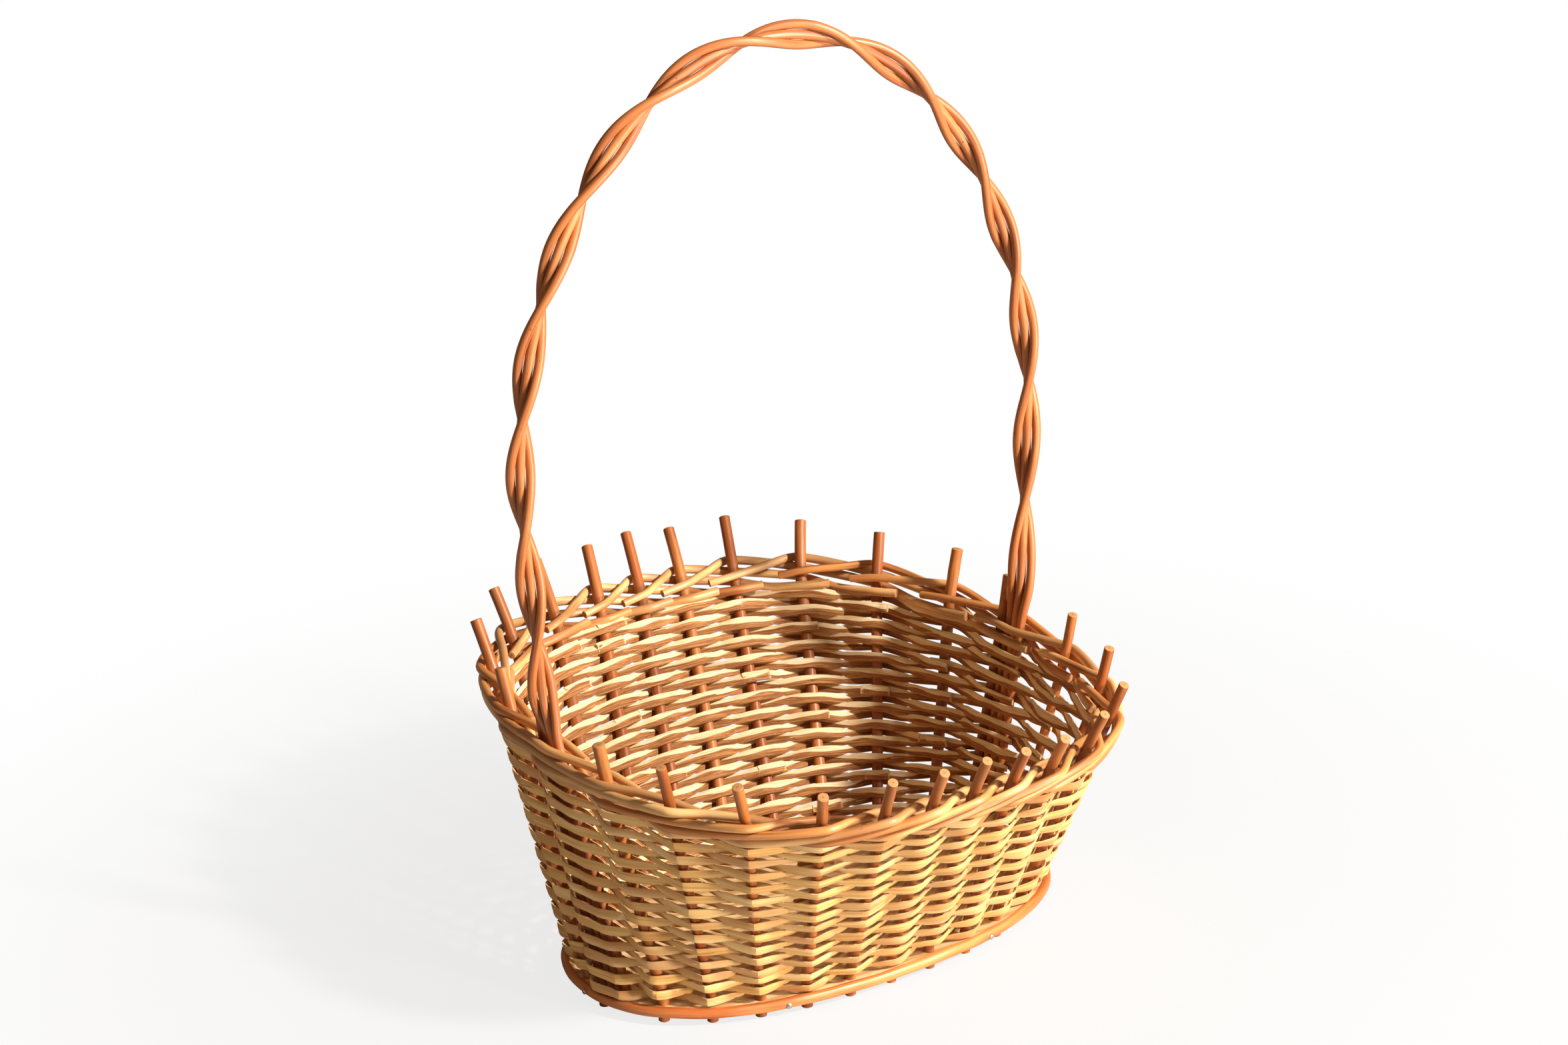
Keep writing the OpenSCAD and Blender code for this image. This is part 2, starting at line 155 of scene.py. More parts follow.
def stake_along(k):
    """Place along the wall of the stake itself, beside the handle rods of its group."""
    return {RIGHT_END: GROUP_STAKE, LEFT_END: -GROUP_STAKE}.get(k, 0.0)


def wall_at(k, along, z):
    """A point in the middle of the wall at stake k, or that far along from it, at a height."""
    foot = FOOT[k] + along * FOOT_ALONG[k]
    top = TOP[k] + along * TOP_ALONG[k]
    p = foot + (z - BEND_Z) / (STAKE_TOP - BEND_Z) * (top - foot)
    p[2] = z
    return p


def gap_middle(k, z):
    """The point half-way between stake k and the next one, at a height."""
    after = (k + 1) % STAKES
    return (wall_at(k, group_span(k)[1], z) + wall_at(after, group_span(after)[0], z)) / 2


def gap_up(k):
    return unit(UP[k] + UP[(k + 1) % STAKES])


def reach(k, z, side, half):
    """How far from the middle of stake k a strand of that half thickness passes. The distance and the
    slope of the strand depend on each other, and settle in a few rounds."""
    low, high = group_span(k)
    found = 0.0
    for middle, along in ((gap_middle(k, z), high), (gap_middle((k - 1) % STAKES, z), low)):
        way = middle - wall_at(k, along, z)
        drop, run = -side * way @ OUT[k], abs(way @ ALONG[k])
        away = KNUCKLE_R + half
        for _ in range(SLOPE_ROUNDS):
            slope = max(0.0, (away + drop) / run)
            away = (KNUCKLE_R + WEAVE_FIT) * math.hypot(1, slope) + half
        found = max(found, away)
    return found


def passing(k, along, z, side, half, extra=0.0, square=0.0):
    """Middle of a strand that passes stake k outside, side 1, or inside, side -1. It stays level with
    the gaps beside the stake, or with square 1 it moves squarely off the leaning wall."""
    way = side * (reach(k, z, side, half) + extra - THINNER[k]) * OUT[k]
    return wall_at(k, along, z - (1 - square) * way[2]) + way


print("a skein passes stake 5 at", np.round(passing(5, 0.0, 0.08, 1, SKEIN_HALF) * 1000, 1), "mm")

# %% [markdown]
# ## Strands
# A strand is a row of rings along a smooth path. Blender's curves could do this, but a split skein
# has a section that changes along its length and a face that is smooth outside and rough inside, so
# the rings are built as mesh. Each point also remembers where it would lie if the strand were
# straight: how far along, and where in the section. The wood grain is drawn in that straight
# strand, so it runs along every bend and has no seam.

# %% Smooth paths
RIPPLE_SHARES = (1.0, 0.61, 0.37)


def spline(points, ways, extras, steps, pulls):
    """A smooth path through points with the given directions, and the extras between them. A point
    with a pull below 1 is passed in a sharper bend."""
    points, extras = np.array(points), np.array(extras)
    ways = np.array(ways) * np.array(pulls)[:, None]
    t = np.linspace(0, 1, steps + 1)[:-1, None]
    path, rest = [], []
    for i in range(len(points) - 1):
        p, q = points[i], points[i + 1]
        chord = np.linalg.norm(q - p)
        path.append(
            (2 * t**3 - 3 * t**2 + 1) * p + (t**3 - 2 * t**2 + t) * chord * ways[i]
            + (3 * t**2 - 2 * t**3) * q + (t**3 - t**2) * chord * ways[i + 1])
        ease = t * t * (3 - 2 * t)
        rest.append((1 - ease) * extras[i] + ease * extras[i + 1])
    return np.vstack(path + [points[-1:]]), np.vstack(rest + [extras[-1:]])


def middle_ways(points):
    """Directions along a row of points, each from the point before to the point after."""
    points = np.array(points)
    ways = np.empty_like(points)
    ways[1:-1] = points[2:] - points[:-2]
    ways[0], ways[-1] = points[1] - points[0], points[-1] - points[-2]
    return unit(ways)


def ripple(rng, s, wave, amount):
    """A slow random wander along a strand, of waves that get shorter and weaker."""
    total = np.zeros_like(s)
    for share in RIPPLE_SHARES:
        total += share * np.sin(TAU * s / (wave * share) + rng.uniform(0, TAU))
    return amount * total / sum(RIPPLE_SHARES)


print("a test path has", len(spline(np.eye(3), np.eye(3), np.eye(3), 6, [1, 1, 1])[0]), "points")

# %% Strands become mesh pieces
# The upper mark tells the skein finish where the split face gets painted light; the rest of it gets
# painted shade
MARKS = ("tone", "cut", "inner", "upper")
TONE, CUT, INNER, UPPER = range(len(MARKS))
SHARP_ROD, SHARP_SKEIN = 38, 20


def blank_marks(rings):
    return np.zeros(rings.shape[:2] + (len(MARKS),))


def add_object(name, data):
    obj = bpy.data.objects.new(name, data)
    bpy.context.scene.collection.objects.link(obj)
    return obj


class Strands:
    """Collects strands, and makes one mesh piece of them."""

    def __init__(self):
        self.points, self.faces, self.rods, self.marks, self.count = [], [], [], [], 0

    def add(self, rings, rods, marks, closed=False):
        """rings and rods are (ring, point, xyz), and marks are (ring, point, mark)."""
        m, n = rings.shape[:2]
        at = self.count + np.arange(m * n).reshape(m, n)
        if closed:
            at = np.vstack([at, at[:1]])
        a, b = at[:-1], np.roll(at[:-1], -1, axis=1)
        c, d = np.roll(at[1:], -1, axis=1), at[1:]
        self.faces += np.stack([a, b, c, d], -1).reshape(-1, 4).tolist()
        if not closed:
            self.faces += [at[0][::-1].tolist(), at[-1].tolist()]
        self.points.append(rings.reshape(-1, 3))
        self.rods.append(rods.reshape(-1, 3))
        self.marks.append(marks.reshape(-1, len(MARKS)))
        self.count += m * n

    def piece(self, name, slot, finish, *nodes, sharp=SHARP_ROD):
        """One object of all the strands. Edges of more than sharp degrees stay sharp."""
        mesh = bpy.data.meshes.new(name)
        mesh.from_pydata(np.vstack(self.points).tolist(), [], self.faces)
        mesh.validate()
        rod = mesh.attributes.new("rod", "FLOAT_VECTOR", "POINT")
        rod.data.foreach_set("vector", np.vstack(self.rods).astype(np.float32).ravel())
        marks = np.vstack(self.marks).astype(np.float32)
        for i, mark in enumerate(MARKS):
            attribute = mesh.attributes.new(mark, "FLOAT", "POINT")
            attribute.data.foreach_set("value", np.ascontiguousarray(marks[:, i]))
        mesh.shade_smooth()
        mesh.set_sharp_from_angle(angle=math.radians(sharp))
        mesh.materials.append(finish)
        obj = add_object(name, mesh)
        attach(obj, "root")
        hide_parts(*nodes)


print("each point carries its place in the straight rod, and the marks", MARKS)

# %% [markdown]
# ## Peeled rods
# The stakes, the border and the handle are whole willow rods with the bark peeled off. A rod is a
# little uneven, swells at its knots, and ends in a square cut with a narrow worn edge. The two
# small rings past each end make that edge and the cut face.

# %% Round rods
# Distance past the end and share of the radius of the worn edge's ring and of the cut face's ring
BEVEL, BEVEL_SHARE = 0.0002, 0.93
FACE, FACE_SHARE = 0.0003, 0.5
# Wave length and amount of the uneven thickness
ROD_UNEVEN = (0.09, 0.02)
KNOT_SWELL, KNOT_LENGTH, KNOT_PLACES = 0.05, 0.0035, (0.05, 0.95)
# Each rod shows its own stretch of this much grain, in metres
ROD_GRAIN = 5


def round_rod(strands, path, side_way, radius, rng, sides, knots):
    """A peeled rod along a path, with radius as one number or one for each point."""
    n = len(path)
    first, last = unit(path[0] - path[1]), unit(path[-1] - path[-2])
    path = np.vstack([
        path[0] + FACE * first, path[0] + BEVEL * first, path,
        path[-1] + BEVEL * last, path[-1] + FACE * last])
    side_way = np.pad(np.broadcast_to(side_way, (n, 3)), ((2, 2), (0, 0)), "edge")
    radius = np.pad(np.broadcast_to(radius, n), 2, "edge")
    s = lengths_of(path)
    r = radius * (1 + ripple(rng, s, *ROD_UNEVEN))
    for _ in range(knots):
        at = rng.uniform(*KNOT_PLACES) * s[-1]
        r = r + KNOT_SWELL * radius * np.exp(-(((s - at) / KNOT_LENGTH) ** 2))
    r[[0, -1]] *= FACE_SHARE
    r[[1, -2]] *= BEVEL_SHARE
    way = unit(np.gradient(path, axis=0))
    across = unit(side_way - (side_way * way).sum(-1, keepdims=True) * way)
    other = np.cross(way, across)
    angle = np.arange(sides) * TAU / sides
    c, d = np.cos(angle), np.sin(angle)
    rings = path[:, None] + r[:, None, None] * (
        c[None, :, None] * across[:, None] + d[None, :, None] * other[:, None])
    place = (s + rng.uniform(0, ROD_GRAIN))[:, None]
    rods = np.stack(np.broadcast_arrays(place, r[:, None] * c, r[:, None] * d), -1)
    marks = blank_marks(rings)
    marks[..., TONE] = rng.uniform(0, 1)
    marks[[0, 1, -2, -1], :, CUT] = 1
    strands.add(rings, rods, marks)


print("a rod end is cut", round(FACE * 1000, 1), "mm past its path")

# %% [markdown]
# ## Shader sums
# A finish is a graph of nodes. Written node by node it is long and hard to read, so a small class
# stands for a socket and lets sums be written as Python, and one method adds any other node.

# %% Wires and finishes
# Places of the two colours and of the result among the sockets of a mix node
MIX_FIRST, MIX_SECOND, MIX_RESULT = 6, 7, 2


class Wire:
    """A socket of a finish that can be used in sums."""

    def __init__(self, finish, socket):
        self.finish, self.socket = finish, socket

    def math(self, operation, first, second):
        return self.finish.node("ShaderNodeMath", {"operation": operation}, {0: first, 1: second})

    def __add__(self, other):
        return self.math("ADD", self, other)

    def __sub__(self, other):
        return self.math("SUBTRACT", self, other)

    def __rsub__(self, other):
        return self.math("SUBTRACT", other, self)

    def __mul__(self, other):
        return self.math("MULTIPLY", self, other)

    __radd__, __rmul__ = __add__, __mul__


class Finish:
    """A material whose nodes are added by sums and by one method."""

    def __init__(self, name):
        self.material = bpy.data.materials.new(name)
        self.material.use_nodes = True
        self.tree = self.material.node_tree
        self.shader = self.tree.nodes["Principled BSDF"]

    def node(self, kind, settings, sockets, out=0):
        """Adds a node of any kind with its settings and sockets, and gives one of its outputs."""
        made = self.tree.nodes.new(kind)
        for key, value in settings.items():
            setattr(made, key, value)
        for key, value in sockets.items():
            self.feed(made.inputs[key], value)
        return Wire(self, made.outputs[out])

    def feed(self, socket, value):
        if isinstance(value, Wire):
            self.tree.links.new(value.socket, socket)
        elif socket.type == "RGBA":
            socket.default_value = (*value, 1)
        else:
            socket.default_value = value

    def read(self, attribute, out="Fac"):
        return self.node("ShaderNodeAttribute", {"attribute_name": attribute}, {}, out)

    def place(self):
        return self.node("ShaderNodeTexCoord", {}, {}, "Object")

    def stretch(self, vector, scales):
        return self.node("ShaderNodeVectorMath", {"operation": "MULTIPLY"}, {0: vector, 1: scales})

    def length(self, vector):
        return self.node("ShaderNodeVectorMath", {"operation": "LENGTH"}, {0: vector}, "Value")

    def noise(self, vector, detail=3.0, rough=0.55):
        return self.node(
            "ShaderNodeTexNoise", {},
            {"Vector": vector, "Scale": 1.0, "Detail": detail, "Roughness": rough})

    def slope(self, value, low, high, start=0.0, end=1.0):
        """From start to end as value goes from low to high, and level beyond."""
        return self.node(
            "ShaderNodeMapRange", {"interpolation_type": "SMOOTHSTEP"},
            {"Value": value, "From Min": low, "From Max": high, "To Min": start, "To Max": end})

    def mix(self, share, first, second):
        return self.node(
            "ShaderNodeMix", {"data_type": "RGBA"},
            {0: share, MIX_FIRST: first, MIX_SECOND: second}, MIX_RESULT)

    def set(self, **sockets):
        for key, value in sockets.items():
            self.feed(self.shader.inputs[key.replace("_", " ")], value)

    def bump(self, height, distance):
        sockets = {"Height": height, "Distance": distance, "Strength": 1.0}
        self.set(Normal=self.node("ShaderNodeBump", {}, sockets))


def colour(r, g, b):
    """A colour from screen values, 0 to 255, as the shader's linear one."""
    return tuple(((c / 255 + 0.055) / 1.055) ** 2.4 for c in (r, g, b))


print("buff willow is", [round(c, 3) for c in colour(205, 132, 76)])

# %% [markdown]
# ## Buff willow
# Boiled and peeled willow is a warm orange tan with a silky skin. Long streaks run along the rod,
# some stretches are paler where the skin is rubbed, and there are small dark specks. The cut ends
# show plain wood with a darker pith. Every rod has its own tone. An image could show all this, but
# noise that is stretched along the straight rod never repeats and needs no unwrapping.

# %% Finish of the peeled rods
def peeled_willow(name, pale, middle, deep):
    f = Finish(name)
    rod, tone, cut = f.read("rod", "Vector"), f.read("tone"), f.read("cut")
    streak = f.noise(f.stretch(rod, (14, 420, 420)), 2, 0.5)
    patch = f.noise(f.stretch(rod, (14, 110, 110)), 3)
    body = f.mix(f.slope(streak, 0.26, 0.56), deep, middle)
    body = f.mix(f.slope(patch + 0.55 * tone, 0.56, 1.0, 0.0, 0.85), body, pale)
    body = f.mix(f.slope(patch - 0.4 * tone, 0.1, 0.4, 0.6, 0.0), body, deep)
    speck = f.slope(f.noise(f.stretch(rod, (330, 620, 620)), 2), 0.71, 0.76)
    body = f.mix(speck * 0.75, body, colour(92, 48, 24))
    pith = f.slope(f.length(f.stretch(rod, (0, 1, 1))), 0.0004, 0.0009, 0.55, 0.0)
    grain = f.slope(f.noise(f.stretch(rod, (0, 2600, 2600)), 3), 0.4, 0.65)
    end = f.mix(grain, colour(170, 114, 66), colour(204, 152, 98))
    end = f.mix(pith, end, colour(120, 74, 38))
    f.set(
        Base_Color=f.mix(cut, body, end), Specular_IOR_Level=0.45,
        Roughness=f.slope(streak, 0.3, 0.7, 0.5, 0.36) + 0.25 * cut)
    f.bump(streak, 0.0001)
    return f.material


# Pale, middle and deep colour of the rods for each use
BUFF = {
    "stake": [(196, 122, 60), (164, 89, 38), (114, 56, 22)],
    "border": [(248, 200, 134), (208, 138, 76), (142, 76, 34)],
    "handle": [(214, 146, 90), (182, 108, 58), (136, 68, 30)],
    "hoop": [(222, 148, 84), (198, 114, 56), (158, 78, 34)],
}
buff_wood = {}
for use, tones in BUFF.items():
    buff_wood[use] = peeled_willow("buff_" + use, *(colour(*tone) for tone in tones))
print("finishes:", [wood.name for wood in buff_wood.values()])

# %% [markdown]
# ## Split skeins
# The weave is willow split lengthwise. The outside of a skein is the smooth face of the rod, pale as
# straw, and the inside is a wedge with torn fibres. Its upper facet is painted light, as if lit from
# above, and its lower facet is painted brown shade. The marks on each point tell the finish which face
# it is on, so one finish serves the whole skein.

# %% Finish of the skeins
def split_willow():
    f = Finish("split_skein")
    rod, tone, cut = f.read("rod", "Vector"), f.read("tone"), f.read("cut")
    inner, upper = f.read("inner"), f.read("upper")
    streak = f.noise(f.stretch(rod, (16, 620, 620)), 4, 0.6)
    fibre = f.noise(f.stretch(rod, (45, 2400, 2400)), 3, 0.6)
    patch = f.noise(f.stretch(rod, (9, 60, 60)), 3)
    skin = f.mix(f.slope(streak, 0.33, 0.68), colour(208, 152, 82), colour(240, 196, 124))
    skin = f.mix(f.slope(patch + 0.5 * tone, 0.62, 1.02, 0.0, 0.85), skin, colour(250, 218, 156))
    skin = f.mix(f.slope(patch - 0.45 * tone, 0.06, 0.4, 0.7, 0.0), skin, colour(190, 124, 62))
    # The split face is one wood in two painted lights: the upper facet is painted lit and the lower one
    # painted in shade. The fibre noise in each facet is real grain
    painted_lit_facet = f.mix(f.slope(fibre, 0.34, 0.58), colour(232, 190, 134), colour(254, 228, 182))
    painted_shaded_facet = f.mix(f.slope(fibre, 0.38, 0.68), colour(134, 76, 34), colour(202, 142, 80))
    split_face_painted_light = f.mix(upper, painted_shaded_facet, painted_lit_facet)
    body = f.mix(inner, skin, split_face_painted_light)
    line = f.slope(f.noise(f.stretch(rod, (28, 1300, 1300)), 2), 0.67, 0.74)
    body = f.mix(line * (0.25 + 0.5 * inner), body, colour(120, 74, 40))
    speck = f.slope(f.noise(f.stretch(rod, (260, 520, 520)), 2), 0.74, 0.79)
    body = f.mix(speck * 0.7, body, colour(98, 58, 32))
    end = f.mix(f.slope(fibre, 0.4, 0.6), colour(196, 150, 94), colour(240, 214, 164))
    f.set(
        Base_Color=f.mix(cut, body, end), Specular_IOR_Level=0.4,
        Roughness=f.slope(streak, 0.3, 0.7, 0.58, 0.42) + 0.22 * inner)
    f.bump(0.5 * streak + fibre * (0.25 + 0.75 * inner), 0.0004)
    return f.material


skein_wood = split_willow()
print("finish:", skein_wood.name, len(skein_wood.node_tree.nodes), "nodes")

# %% [markdown]
# ## Stakes
# Each stake comes up through a hole in the board, bends outward and runs straight to its cut top.
# The bend is rounded with a soft ramp, so that the rod leaves the hole upright. The tops were cut by
# hand, so their lengths differ a little and their free ends lean each their own way.

# %% Stakes
STAKE_SEED, STAKE_SIDES = 100, 18
STAKE_SIZES, MOST_STAKE_KNOTS = (0.96, 1.03), 2
# The foot is thinner, and grows to the full radius over the neck above the board
FOOT_R, NECK, BEND_SOFT = 0.0033, 0.002, 0.0016
BEND_END, BEND_POINTS, WALL_START, WALL_POINTS = 0.02, 14, 0.026, 34
# Above this height the free end turns upright by a share of its lean, and strays along and out
FREE_LOW, FREE_CURVE, UPRIGHT = 0.145, 1.3, 0.5
TOP_CUT, STRAY_ALONG, STRAY_OUT = (-0.0035, 0.003), 0.0007, 0.0005


def stake_path(k, rng):
    along = stake_along(k)
    foot, top = FOOT[k] + along * FOOT_ALONG[k], TOP[k] + along * TOP_ALONG[k]
    cut = STAKE_TOP + rng.uniform(*TOP_CUT) - FACE
    z = np.concatenate([
        np.linspace(FACE, BEND_END, BEND_POINTS), np.linspace(WALL_START, cut, WALL_POINTS)])
    lean = BEND_SOFT * np.log1p(np.exp((z - BEND_Z) / BEND_SOFT)) / (STAKE_TOP - BEND_Z)
    path = foot + lean[:, None] * (top - foot)
    path[:, 2] = z
    free = np.clip((z - FREE_LOW) / (STAKE_TOP - FREE_LOW), 0, None) ** FREE_CURVE
    upright = -UPRIGHT * (UP[k] @ TOP_ALONG[k]) * (STAKE_TOP - FREE_LOW)
    stray = (upright + rng.normal(0, STRAY_ALONG)) * TOP_ALONG[k] + rng.normal(0, STRAY_OUT) * OUT[k]
    path += free[:, None] * stray
    radius = FOOT_R + (STAKE_R - THINNER[k] - FOOT_R) * np.clip((z - BOARD_TOP) / NECK, 0, 1)
    return path, radius


for k in range(STAKES):
    rng = np.random.default_rng(STAKE_SEED + k)
    strands = Strands()
    path, radius = stake_path(k, rng)
    radius = radius * rng.uniform(*STAKE_SIZES)
    knots = int(rng.integers(0, MOST_STAKE_KNOTS + 1))
    round_rod(strands, path, OUT[k], radius, rng, STAKE_SIDES, knots)
    name = f"stake_{k + 1:02d}"
    strands.piece(name + "_rod", "stake", buff_wood["stake"], name)
print(STAKES, "stakes")

# %% [markdown]
# ## Weave
# The back is woven closer than the front: after every three rows that go all round there is a pair of
# short rows, which start behind the right handle end and stop somewhere on the front. Past their ends
# the other rows close up, so a row's height depends on the stake. Each row has a weight at each stake,
# and the sums of the weights share out the height of the wall.

# %% Heights of the rows
ROWS, SET_ROWS, ROUND_ROWS, CLOSING = 26, 5, 3, 3
WEAVE_LOW, WEAVE_HEIGHT, SKEIN_HEIGHT, SKEIN_SHARE = 0.0114, 0.125, 0.0086, 1.48
# The ends of the short rows take turns in places along the front, in strides
END_STRIDE, END_PLACES = 3, ROWS // SET_ROWS
# One more row packs the space under the border, this share of a row above the last one
EXTRA_ROW, EXTRA_RISE = ROWS, 0.92


def is_short(r):
    return r % SET_ROWS >= ROUND_ROWS


def row_side(r, k):
    return 1 if (r + k) % 2 == 0 else -1


def short_span(r):
    """First and last stake of a short row, both passed inside."""
    end = BACK_GAPS + 1 + 2 * (END_STRIDE * (r // SET_ROWS) % END_PLACES)
    return 1 + r % 2, end + (r + end + 1) % 2


def row_weight(r, k):
    if not is_short(r):
        return 1.0
    first, last = short_span(r)
    past = min(max(first - u, u - last, 0) for u in (k, k - STAKES))
    return max(0.0, 1 - past / CLOSING)


weight = np.array([[row_weight(r, k) for k in range(STAKES)] for r in range(ROWS)])
rank = np.cumsum(weight, axis=0) - weight + (weight - 1) / 2
pitch = WEAVE_HEIGHT / (rank[-1] + 1)


def height_of(most, share, room=pitch):
    """A height at each stake: a share of the room for a row, up to a most."""
    return np.minimum(most, share * room)


TALL = height_of(SKEIN_HEIGHT, SKEIN_SHARE)
ROW_Z = WEAVE_LOW + TALL / 2 + rank / rank[-1] * (WEAVE_HEIGHT - TALL)
ROW_Z = np.vstack([ROW_Z, ROW_Z[-1] + EXTRA_RISE * pitch])
most_rows, least_rows = round(rank[-1].max() + 1), round(rank[-1].min() + 1)
print("rows at the back", most_rows, "and at the right of the front", least_rows)

# %% [markdown]
# A skein is drawn higher than the room of its row, because the rows above and below it lie on the
# other side of the stake. The skeins lie more open from the left handle end to the left front corner,
# and are narrow inside next to the right handle end. Where a skein crosses the wall it is pressed
# slim, and where a short row closes up it gets narrower.

# %% Heights that are drawn
CORNER = (14, 15, 16, 17)
OUTSIDE_MOST, INSIDE_MOST, SLIM_MOST = 0.0097, 0.0094, 0.0076
OPEN_SHARE, CLOSE_SHARE, INSIDE_SHARE = 1.16, 1.34, 1.42
SLIM_BACK, SLIM_FRONT, CLOSED_SHARE = 0.98, 0.82, 0.4
NEAR_RIGHT, NARROWED = [-3, -2, -1, 0, 1, 2, 3], [0.9, 0.84, 0.8, 0.8, 0.8, 0.84, 0.9]

is_open = (numbers >= LEFT_END - 1) & (numbers <= CORNER[-1])
OUTSIDE = height_of(OUTSIDE_MOST, np.where(is_open, OPEN_SHARE, CLOSE_SHARE))
INSIDE = height_of(INSIDE_MOST, INSIDE_SHARE)
INSIDE[NEAR_RIGHT] *= NARROWED
gap_room = np.minimum(pitch, np.roll(pitch, -1))
SLIM = height_of(SLIM_MOST, np.where(numbers < LEFT_END, SLIM_BACK, SLIM_FRONT), gap_room)
ROW_SHARE = np.vstack([CLOSED_SHARE + (1 - CLOSED_SHARE) * weight, np.ones(STAKES)])
print("skeins are up to", round(OUTSIDE.max() * 1000, 1), "mm high outside")

# %% [markdown]
# A row that goes all round is laid in two or three skeins. A new skein is laid in on the inside of a
# stake, over the end of the old one, and both ends stay as blunt stubs. A skein could be a flat
# ribbon, but the real ones are split from round rods, so their section has a rounded face outside and
# a ridge inside that wanders from edge to edge.

# %% The section of a skein
# The smooth face from below to above: thickness in metres, and share of the half height
SMOOTH_FACE = [
    (0.00022, -1.0), (0.00052, -0.7), (0.00074, -0.25), (0.00074, 0.25), (0.00052, 0.7), (0.00022, 1.0)]
FACE_POINTS = len(SMOOTH_FACE)
SECTION = 2 * FACE_POINTS
# The split face goes back down: an upper edge, the two sides of the ridge, and a lower edge
EDGE_DEPTH, EDGE_SHARE = 0.0003, 0.97
RIDGE_DEPTH, RIDGE_WIDTH, RIDGE_PLACE, RIDGE_LIMITS = 0.0012, 0.05, 0.1, (-0.5, 0.62)
ON_SPLIT_FACE = np.array([0, 0, 0, 0, 0, 0, 1, 1, 1, 1, 1, 1])
# Points of the split face above the ridge take the painted light, those below it the painted shade
ABOVE_RIDGE = np.array([0, 0, 0, 0, 0, 1, 1, 1, 1, 0, 0, 0])
# Wave length and amount of what changes slowly along a skein
SWAY, TILT, SWELL = (0.11, 0.0006), (0.08, 0.17), (0.06, 0.08)
RIDGE_DRIFT, DEPTH_DRIFT = (0.06, 0.45), (0.03, 0.1)
TORN, RAGGED, STUB_SIZE = 0.00005, 0.012, 0.9
SKEIN_GRAIN = 9


def skein(strands, path, ups, height, rng):
    """A split skein along a path, with its height at each point. Gives its ways along and outward."""
    s = lengths_of(path)
    n = len(s)
    path = path + np.outer(ripple(rng, s, *SWAY), [0, 0, 1])
    way = unit(np.gradient(path, axis=0))
    out = unit(np.cross(way, ups))
    up = np.cross(out, way)
    tilt = ripple(rng, s, *TILT)[:, None]
    out, up = np.cos(tilt) * out + np.sin(tilt) * up, np.cos(tilt) * up - np.sin(tilt) * out
    half = height / 2 * (1 + ripple(rng, s, *SWELL))
    ridge = np.clip(RIDGE_PLACE + ripple(rng, s, *RIDGE_DRIFT), *RIDGE_LIMITS)
    depth = RIDGE_DEPTH * (1 + ripple(rng, s, *DEPTH_DRIFT))
    across, thick = np.empty((n, SECTION)), np.empty((n, SECTION))
    thick[:, :FACE_POINTS], across[:, :FACE_POINTS] = np.array(SMOOTH_FACE).T
    across[:, 6], across[:, 11] = EDGE_SHARE, -EDGE_SHARE
    across[:, 8], across[:, 9] = ridge + RIDGE_WIDTH, ridge - RIDGE_WIDTH
    across[:, 7] = (EDGE_SHARE + across[:, 8]) / 2
    across[:, 10] = (across[:, 9] - EDGE_SHARE) / 2
    thick[:, 6] = thick[:, 11] = -EDGE_DEPTH
    thick[:, 8] = thick[:, 9] = -depth
    thick[:, 7] = thick[:, 10] = -(EDGE_DEPTH + depth) / 2
    thick[:, FACE_POINTS:] += rng.normal(0, TORN, (n, SECTION - FACE_POINTS))
    across[:, 4:8] += rng.normal(0, RAGGED, (n, 1))
    rise = across * half[:, None]
    rings = path[:, None] + thick[..., None] * out[:, None] + rise[..., None] * up[:, None]
    place = (s + rng.uniform(0, SKEIN_GRAIN))[:, None]
    rods = np.stack([np.broadcast_to(place, thick.shape), thick, rise], -1)
    marks = blank_marks(rings)
    marks[..., TONE] = rng.uniform(0, 1)
    ends = [0, -1]
    marks[ends, :, CUT] = 1
    marks[..., INNER], marks[..., UPPER] = ON_SPLIT_FACE, ABOVE_RIDGE
    middle = rings[ends].mean(axis=1, keepdims=True)
    rings[ends] = middle + STUB_SIZE * (rings[ends] - middle)
    strands.add(rings, rods, marks)
    return way, out


print("a skein has", SECTION, "points round its section")

# %% [markdown]
# Between two stakes a skein crosses from one side of the wall to the other, and the rows above and
# below press it slim there. At the left front corner it is folded sharply over the stakes, and on the
# rest of the front it bends in an even curve.

# %% Courses of the rows
# Pull of the bend outside each stake, inside a stake, and in a gap
BEND = np.select([np.isin(numbers, CORNER), numbers > CORNER[-1]], [0.35, 1.0], 0.8)
PULL_INSIDE, PULL_GAP = 1.1, 0.9
# How squarely a skein moves off the leaning wall, inside, and outside at the back
SQUARE_INSIDE, SQUARE_BACK = 0.75, 0.7
# Length of a stub past its stake, how far it lifts off, and how wide it is
START_STUB, START_LIFT = (0.006, 0.012), (0, 0.0015)
END_STUB, END_LIFT = (0.006, 0.011), (0, 0.001)
STUB_WIDE = 0.9
SKEIN_SIZES, WIDENING, COURSE_STEPS = (0.96, 1.06), 0.3, 7


